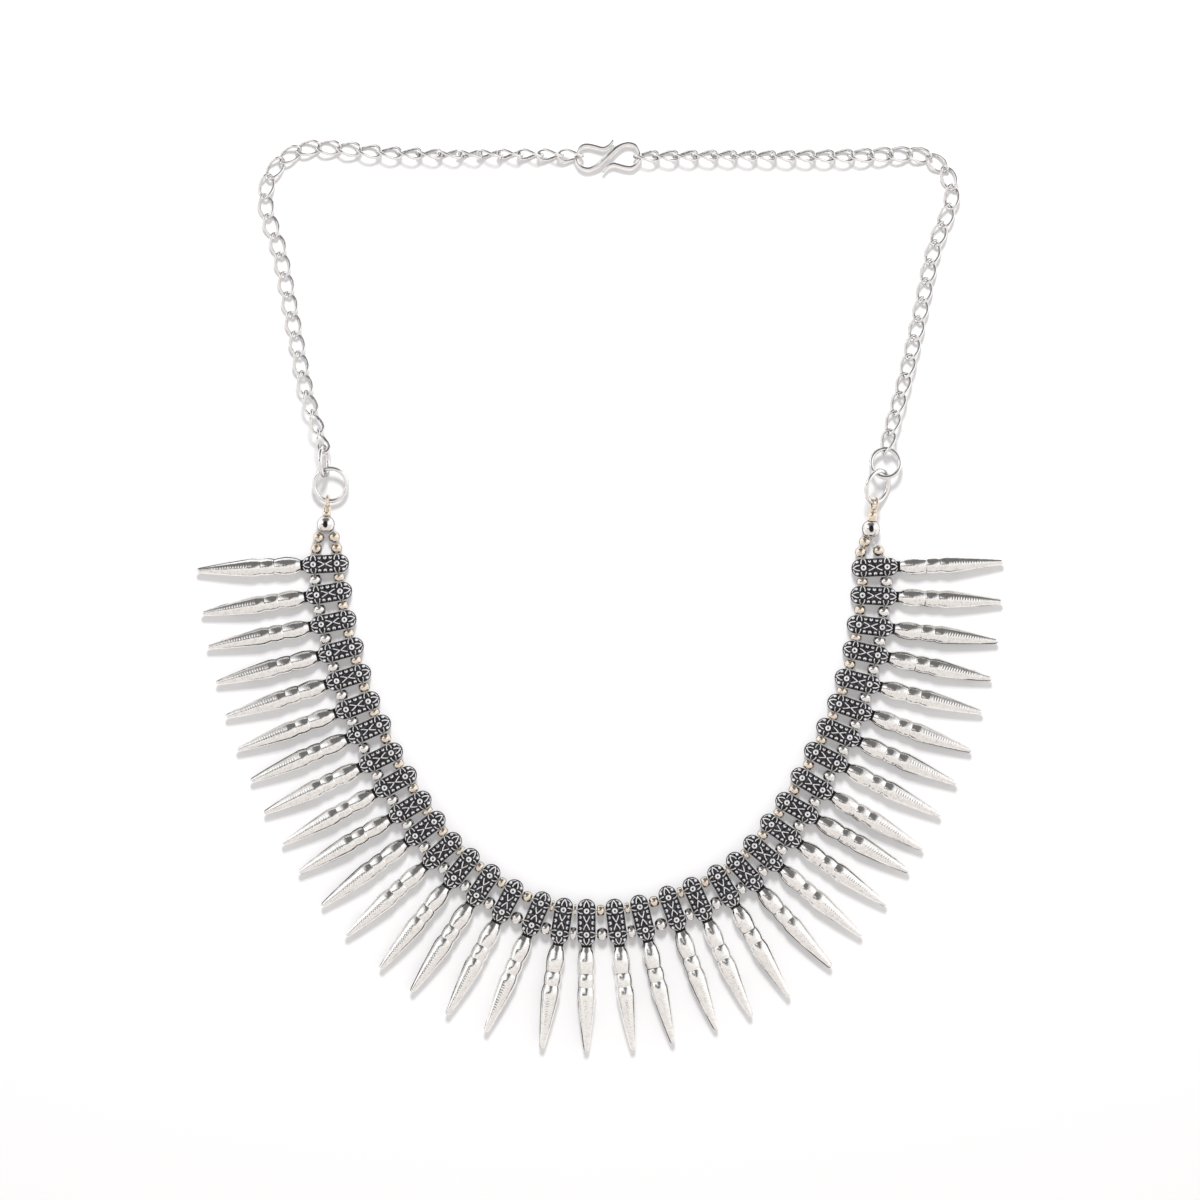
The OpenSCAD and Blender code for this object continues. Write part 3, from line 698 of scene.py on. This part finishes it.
def spike_body(seed):
    """The plain part of one spike, with its own unevenness, slant of the ribs and weight of the painted
    shade.
    """
    heavy = 0.5 + 0.22 * math.sin(seed * 1.9)
    light = 0.28 + 0.2 * math.sin(seed * 3.1 + 1)
    slant = 0.35 * math.sin(seed * 5.3)
    points, dark = [], []
    for x in BODY_PLACES:
        radius = max(body_radius(x) - SEAM_DEPTH * bell(x - BUD_END, SEAM_WIDTH), 0.01)
        ring = section(x, radius)
        strength = rib_strength(x, radius)
        wave = np.sin((x + slant * ring[:, 1]) * 2 * math.pi / RIB_PITCH)
        ring[:, 2] += np.where(ring[:, 2] > 0.01, RIB_HEIGHT * strength * wave, 0.0)
        # painted shade: along the edges, in the neck and grooves, and in the troughs of the ribs
        painted_shade_here = np.maximum(edge_painted_shade(radius, heavy, light), seam_painted_shade(x))
        points.append(ring)
        dark.append(painted_shade_here + RIB_SHADE * strength * (0.5 - 0.5 * wave))
    points, dark = uneven(np.concatenate(points), np.concatenate(dark), seed)
    build = Build()
    build.add(points, capped_faces(len(BODY_PLACES), SPIKE_SIDES), CAST_NUMBER, dark)
    return build


# Places on the collar
def collar_row(n):
    return curve_at(COLLAR, (n - 1) * (len(COLLAR) - 1) / (SPIKES - 1))


def heading(n):
    return collar_row(n)[2] + UNEVEN.get(n, (0, 0, 0))[2]


def head_middle(n):
    row = collar_row(n)
    along = unit(lifted(collar_row(min(n + 1, SPIKES)) - collar_row(max(n - 1, 1)), 0))
    slide, slip, _ = UNEVEN.get(n, (0, 0, 0))
    shift = slide * along + slip * np.cross(along, UP)
    return lifted(row, 0) + direction(row[2]) * HOLE_GAP / 2 + shift


def inner_hole(n):
    return head_middle(n) - direction(heading(n)) * HOLE_GAP / 2


def outer_hole(n):
    return head_middle(n) + direction(heading(n)) * HOLE_GAP / 2


def last_spike(side):
    return 1 if side == "left" else SPIKES


def spikes():
    template = head_template()
    for number in range(1, SPIKES + 1):
        build = spike_body(number)
        build.join(template)
        build = build.moved(turn(0, 0, heading(number)), inner_hole(number))
        name = "spike_%02d" % number
        build.piece("cast_" + name, [name], SPIKE_MATERIALS, "silver")


# Beads. They are a hair smaller than their solids, which keep the full diameter
HAIR = 0.02


def bead(build, place, along, diameter, length, hole, sides=24, spot=0.0):
    """A round drilled bead with softened rims. Spot is a painted dark reflection on the middle of its top."""
    radius, half, hole_r = diameter / 2, length / 2, hole / 2
    edge = math.acos(min(half / radius, 1.0))
    arc = np.linspace(math.pi - edge, edge, 21 if spot else 11)
    rows = [[radius * math.cos(a), radius * math.sin(a), 0.0] for a in arc]
    # the rows of the hole carry painted shade, deepest inside
    rim, inside = half - 0.02, half - 0.12
    rows += [[rim, hole_r + 0.08, 0.4], [inside, hole_r, 0.9],
             [-inside, hole_r, 0.9], [-rim, hole_r + 0.08, 0.4]]
    plain = Build()
    revolve(plain, rows, sides)
    turned = plain.moved(aim(along), place)
    # painted shade low on the bead's sides, and the spot, a painted dark reflection
    x, y, z = ((turned.points[0] - place) / radius).T
    low = 0.6 * flank(z, 0.72, 0.25)
    top = spot * np.exp(-((x / 0.3) ** 2 + (y / 0.45) ** 2) ** 2) * (z > 0)
    turned.dark[0] = np.maximum(turned.dark[0], np.maximum(low, top))
    build.join(turned)


def spacer_beads(name, hole_of, diameter, finish, slot):
    build = Build()
    for n in range(1, SPIKES):
        a, b = hole_of(n), hole_of(n + 1)
        free = np.linalg.norm(b - a) - 2 * HEAD_R - 2 * SPACER_GAP
        length = min(free, diameter - 2 * SPACER_CUT)
        bead(build, lifted((a + b) / 2, THREAD_Z), b - a, diameter - HAIR, length, SPACER_HOLE)
    build.piece("strung_" + name, [name], [finish], slot)


# The ends of the collar. A thread has points this far before and behind a large bead's middle
BEFORE_LARGE, BEHIND_LARGE = LARGE_D / 2 + 0.05, LARGE_D / 2 + 0.25


def large_place(side):
    return lifted(ENDS[side]["large"], LARGE_Z)


def loop_along(side):
    return unit(np.array(ENDS[side]["eye"]) - large_place(side))


def stops_of(side, row):
    """What a thread passes at one end: a hole, small beads, and the mouth of the large bead's hole."""
    n = last_spike(side)
    hole = inner_hole(n) if row == "inner" else outer_hole(n)
    mouth = large_place(side) - loop_along(side) * BEFORE_LARGE
    beads = [lifted(place, THREAD_Z) for place in ENDS[side][row]]
    return [lifted(hole, THREAD_Z)] + beads + [mouth]


def end_beads(side):
    build = Build()
    for row in ("inner", "outer"):
        stops = stops_of(side, row)
        for before, stop, after in zip(stops, stops[1:], stops[2:]):
            length = SMALL_D - 2 * SMALL_CUT
            # the small beads get a half-strength painted dark reflection on top
            bead(build, stop, after - before, SMALL_D - HAIR, length, END_HOLE, spot=0.5)
    build.piece(side + "_end_beads", [side + "_small_beads"], [WARM], "warm_silver")


def gathering_bead(side):
    build = Build()
    length = LARGE_D - 2 * LARGE_CUT
    # the large bead gets a full painted dark reflection on top
    bead(build, large_place(side), loop_along(side), LARGE_D - HAIR, length, END_HOLE, 40, 1.0)
    build.piece(side + "_gathering_bead", [side + "_large_bead"], [BEAD], "silver")


def end_loop(side):
    """Ferrule, doubled stem and eye, made along X from the large bead's middle."""
    end = ENDS[side]
    diameter, length = end["ferrule"]
    radius = diameter / 2 - 0.01
    rounded = diameter / 2 - 0.12
    start = LARGE_D / 2 - LARGE_CUT + FERRULE_GAP
    stop = start + length
    build = Build()
    # the third values are painted shade at the ferrule's ends and in its bore
    revolve(build, [[start, 0.6, 0.6], [start, rounded, 0.1], [start + 0.1, radius, 0],
                    [stop - 0.1, radius, 0], [stop, rounded, 0.1], [stop, 0.3, 0.7],
                    [stop - 0.4, 0.3, 0.7], [stop - 0.4, 0.6, 0.7]], 28)
    reach = np.linalg.norm(np.array(end["eye"]) - large_place(side))
    for y in (-STEM_APART, STEM_APART):
        tube(build, [[x, y, 0] for x in np.linspace(stop - 0.3, reach - EYE_R, 8)], STEM_R, 12)
    basis = turn(end["tilt"])
    eye = circle(EYE_R, 48) @ basis.T + [reach, 0, 0]
    tube(build, eye, EYE_WIRE / 2 - 0.005, 12, closed=True, guide=unit(basis[:, 2]))
    placed = build.moved(aim(loop_along(side)), large_place(side))
    placed.piece(side + "_loop_fitting", [side + "_end_loop"], [WARM], "warm_silver")


# The threads. They come out of the last head this far from its hole's middle, they lie this far to each side
# in a large bead, and they have points this far before and behind a small bead's middle
THREAD_PAST_HOLE = 2.14
THREAD_APART = 0.21
HALF_IN_SMALL = SMALL_D / 2 - 0.35


def thread_end(side, row):
    """Points of a thread from the last spike on, through the small beads and into the large bead."""
    n = last_spike(side)
    stops = stops_of(side, row)
    outward = -90 if side == "left" else 90
    points = [stops[0] + direction(heading(n) + outward) * THREAD_PAST_HOLE]
    for before, stop, after in zip(stops, stops[1:], stops[2:]):
        half = unit(after - before) * HALF_IN_SMALL
        points += [stop - half, stop + half]
    along = loop_along(side)
    hand = 1 if (side == "left") == (row == "inner") else -1
    across = unit(np.cross(along, UP)) * hand * THREAD_APART
    for x in (-BEFORE_LARGE, BEHIND_LARGE):
        points.append(large_place(side) + along * x + across)
    return points


def thread(row, hole_of):
    holes = [lifted(hole_of(n), THREAD_Z) for n in range(1, SPIKES + 1)]
    build = Build()
    tube(build, thread_end("left", row)[::-1] + holes + thread_end("right", row), THREAD_R, 10)
    build.piece(row + "_strung_thread", [row + "_thread"], [THREAD], "thread")


# The chains. A link is a twisted oval, and the solid's has 12 corners round its path
SOLID_CORNERS = 12
WIRE_SIDES = 12
LINK_STEPS = 36
INSIDE_CORNERS = 0.972


def squared(value):
    """Makes the round of a link a little squarer."""
    return np.sign(value) * np.abs(value) ** 0.85


def link_shape(corners):
    k = round_angles(corners)
    x = (LINK_LEN - LINK_WIRE) / 2 * squared(np.cos(k))
    y = (LINK_W - LINK_WIRE) / 2 * squared(np.sin(k))
    twist = np.radians(LINK_TWIST * x / ((LINK_LEN - LINK_WIRE) / 2))
    return np.stack([x, y * np.cos(twist), y * np.sin(twist)], 1)


SOLID_LINK = link_shape(SOLID_CORNERS)
ROUND_LINK = INSIDE_CORNERS * link_shape(LINK_STEPS)


def lowest(roll):
    """How far a link that is rolled by an angle reaches below its middle."""
    return -(SOLID_LINK[:, 1] * math.sin(roll) + SOLID_LINK[:, 2] * math.cos(roll)).min()


def links_on(route, count):
    """Middles of the links at equal steps along a route, and their rolls in radians."""
    points = np.array(curve_points(np.array(route, float), 8))
    sums = np.r_[0, np.cumsum(np.linalg.norm(np.diff(points[:, :2], axis=0), axis=1))]
    at = sums[-1] * np.arange(count) / (count - 1)
    x, y, z, roll = (np.interp(at, sums, column) for column in points.T)
    rolls = np.radians(roll)
    z = z + [0.08 + LINK_WIRE / 2 + lowest(r) for r in rolls]
    return np.stack([x, y, z], 1), rolls


def chain(name, route, count):
    # painted shade on the side of each link's wire that faces into the link, where the next links pass
    inner_painted_shade = 0.5 * ramp_up(-np.cos(round_angles(WIRE_SIDES)), 0.2, 0.8)
    middles, rolls = links_on(route, count)
    build = Build()
    for i, (middle, roll) in enumerate(zip(middles, rolls)):
        along = unit(middles[min(i + 1, count - 1)] - middles[max(i - 1, 0)])
        side = unit(np.cross(UP, along))
        across = side * math.cos(roll) + np.cross(along, side) * math.sin(roll)
        basis = np.stack([along, across, np.cross(along, across)])
        path = middle + ROUND_LINK @ basis
        # low adds painted shade on the links' flanks and undersides
        tube(build, path, LINK_WIRE / 2 - 0.008, WIRE_SIDES, closed=True, dark=inner_painted_shade,
             guide=path - middle, low=0.5)
    build.piece(name + "_links", [name], [WIRE], "silver")


# Jump rings and clasp
def jump_ring(name, outer, place, tilt, rise, way):
    basis = turn(tilt, -rise, way)
    path = circle((outer - RING_WIRE) / 2, 96) @ basis.T + place
    build = Build()
    # low paints shade on the ring wire's flanks and underside
    tube(build, path, RING_WIRE / 2 - 0.005, 16, closed=True, guide=unit(basis[:, 2]), low=0.5)
    build.piece(name + "_wire", [name], [WIRE], "silver")


def clasp():
    """The wire is thick at its middle. It ends one step before its table does, as its ends are rounded."""
    steps_a_row = 6
    half = np.array(curve_points(HOOK_HALF, steps_a_row)[:-1])
    half = np.c_[half, 0 * half[:, 0]]
    path = np.concatenate([HOOK_MIDDLE - half[:0:-1], HOOK_MIDDLE + half])
    rows_from_middle = np.abs(np.arange(-(len(half) - 1), len(half))) / steps_a_row
    radii = np.interp(rows_from_middle, [0, 1.5, 3.5, 12, 14], [0.8, 0.75, 0.5, 0.5, 0.36]) - 0.005
    build = Build()
    # low paints shade on the hook wire's flanks and underside
    tube(build, path, radii, 16, low=0.32)
    build.piece("bent_clasp", ["s_hook"], [WIRE], "silver")


# Floor, light and camera
FLOOR_HALF = 2.5
CAMERA_HEIGHT = 0.9
SENSOR = 36
# What the photo shows: its width at a level over the floor, both in metres, and its middle in millimetres
PHOTO_WIDTH, PHOTO_LEVEL = 0.264, 0.002
PHOTO_MIDDLE = (0.11, -0.55)


def floor():
    mesh = bpy.data.meshes.new("floor")
    s = FLOOR_HALF
    mesh.from_pydata([(-s, -s, 0), (s, -s, 0), (s, s, 0), (-s, s, 0)], [], [(0, 1, 2, 3)])
    plane = bpy.data.objects.new("floor", mesh)
    scene.collection.objects.link(plane)
    material, _, shader = nodes_of("white_paper")
    shader.inputs["Base Color"].default_value = (0.5, 0.497, 0.5, 1)
    shader.inputs["Emission Color"].default_value = (1.0, 0.985, 0.985, 1)
    shader.inputs["Emission Strength"].default_value = 0.28
    shader.inputs["Roughness"].default_value = 0.9
    mesh.materials.append(material)


def surroundings():
    """A white tent over the front, a white wall to each side, and a dark wedge between them at the back."""
    world = bpy.data.worlds.new("studio")
    scene.world = world
    world.use_nodes = True
    tree = world.node_tree
    split = tree.nodes.new("ShaderNodeSeparateXYZ")
    tree.links.new(tree.nodes.new("ShaderNodeTexCoord").outputs["Generated"], split.inputs[0])
    x, y, _ = split.outputs
    # both directions again, as 0 to 1
    x_place = maths(tree, "MULTIPLY_ADD", x, 0.5, 0.5)
    y_place = maths(tree, "MULTIPLY_ADD", y, 0.5, 0.5)
    aside = maths(tree, "ABSOLUTE", x)
    behind = maths(tree, "ADD", maths(tree, "MAXIMUM", y, 0.0), 0.03)
    spread = maths(tree, "DIVIDE", aside, maths(tree, "ADD", aside, behind))
    walls = ramp(tree, aside, [(0.42, (0.9, 0.895, 0.895)), (0.56, (1.2, 1.2, 1.21))])
    wedge = ramp(tree, spread, [(0.34, (0.19, 0.185, 0.185)), (0.41, (0.5, 0.49, 0.49)),
                                (0.47, (0.75, 0.745, 0.74)), (0.53, (1.0, 1.0, 1.0))])
    rear = mix(tree, "MULTIPLY", 1.0, wedge, walls)
    tent = ramp(tree, y_place, [(0.22, (0.84, 0.79, 0.765)), (0.44, (0.95, 0.93, 0.91))])
    is_rear = ramp(tree, y_place, [(0.48, 0.0), (0.5, 1.0)])
    whole = mix(tree, "MIX", is_rear, tent, rear)
    # a dark edge between the tent and the left wall
    low = ramp(tree, y_place, [(0.475, 0.0), (0.49, 1.0), (0.56, 1.0), (0.58, 0.0)])
    left = ramp(tree, x_place, [(0.06, 0.0), (0.1, 1.0), (0.44, 1.0), (0.5, 0.0)])
    whole = mix(tree, "MIX", maths(tree, "MULTIPLY", low, left), whole, (0.06, 0.056, 0.054))
    background = tree.nodes["Background"]
    tree.links.new(whole, background.inputs["Color"])
    background.inputs["Strength"].default_value = 1.0


def key_light(place, size, power):
    """A square lamp that points at the origin and isn't mirrored in the silver."""
    light = bpy.data.lights.new("key", "AREA")
    light.shape = "RECTANGLE"
    light.size = light.size_y = size
    light.energy = power
    lamp = bpy.data.objects.new("key", light)
    lamp.location = place
    lamp.rotation_euler = (-Vector(place)).to_track_quat("-Z", "Y").to_euler()
    lamp.visible_glossy = False
    scene.collection.objects.link(lamp)


def camera():
    """Looks straight down, as the photo does."""
    data = bpy.data.cameras.new("camera")
    data.sensor_width = SENSOR
    data.lens = SENSOR * (CAMERA_HEIGHT - PHOTO_LEVEL) / PHOTO_WIDTH
    data.clip_start, data.clip_end = 0.05, 20
    eye = bpy.data.objects.new("camera", data)
    x, y = ((SHIFT[i] + PHOTO_MIDDLE[i]) * MM for i in (0, 1))
    eye.location = (x, y, CAMERA_HEIGHT)
    eye.rotation_euler = (0, 0, 0)
    scene.collection.objects.link(eye)
    scene.camera = eye


spikes()
spacer_beads("inner_spacer_beads", inner_hole, INNER_D, WARM, "warm_silver")
spacer_beads("outer_spacer_beads", outer_hole, OUTER_D, BEAD, "silver")
for side in SIDES:
    end_beads(side)
    gathering_bead(side)
    end_loop(side)
thread("inner", inner_hole)
thread("outer", outer_hole)
chain("left_chain", LEFT_ROUTE, LEFT_LINKS)
chain("right_chain", RIGHT_ROUTE, RIGHT_LINKS)
for name, sizes in RINGS.items():
    jump_ring(name, *sizes)
clasp()

floor()
surroundings()
key_light(place=(0.0, 0.49, 0.585), size=0.18, power=7.6)
camera()
scene.view_settings.view_transform = "Standard"
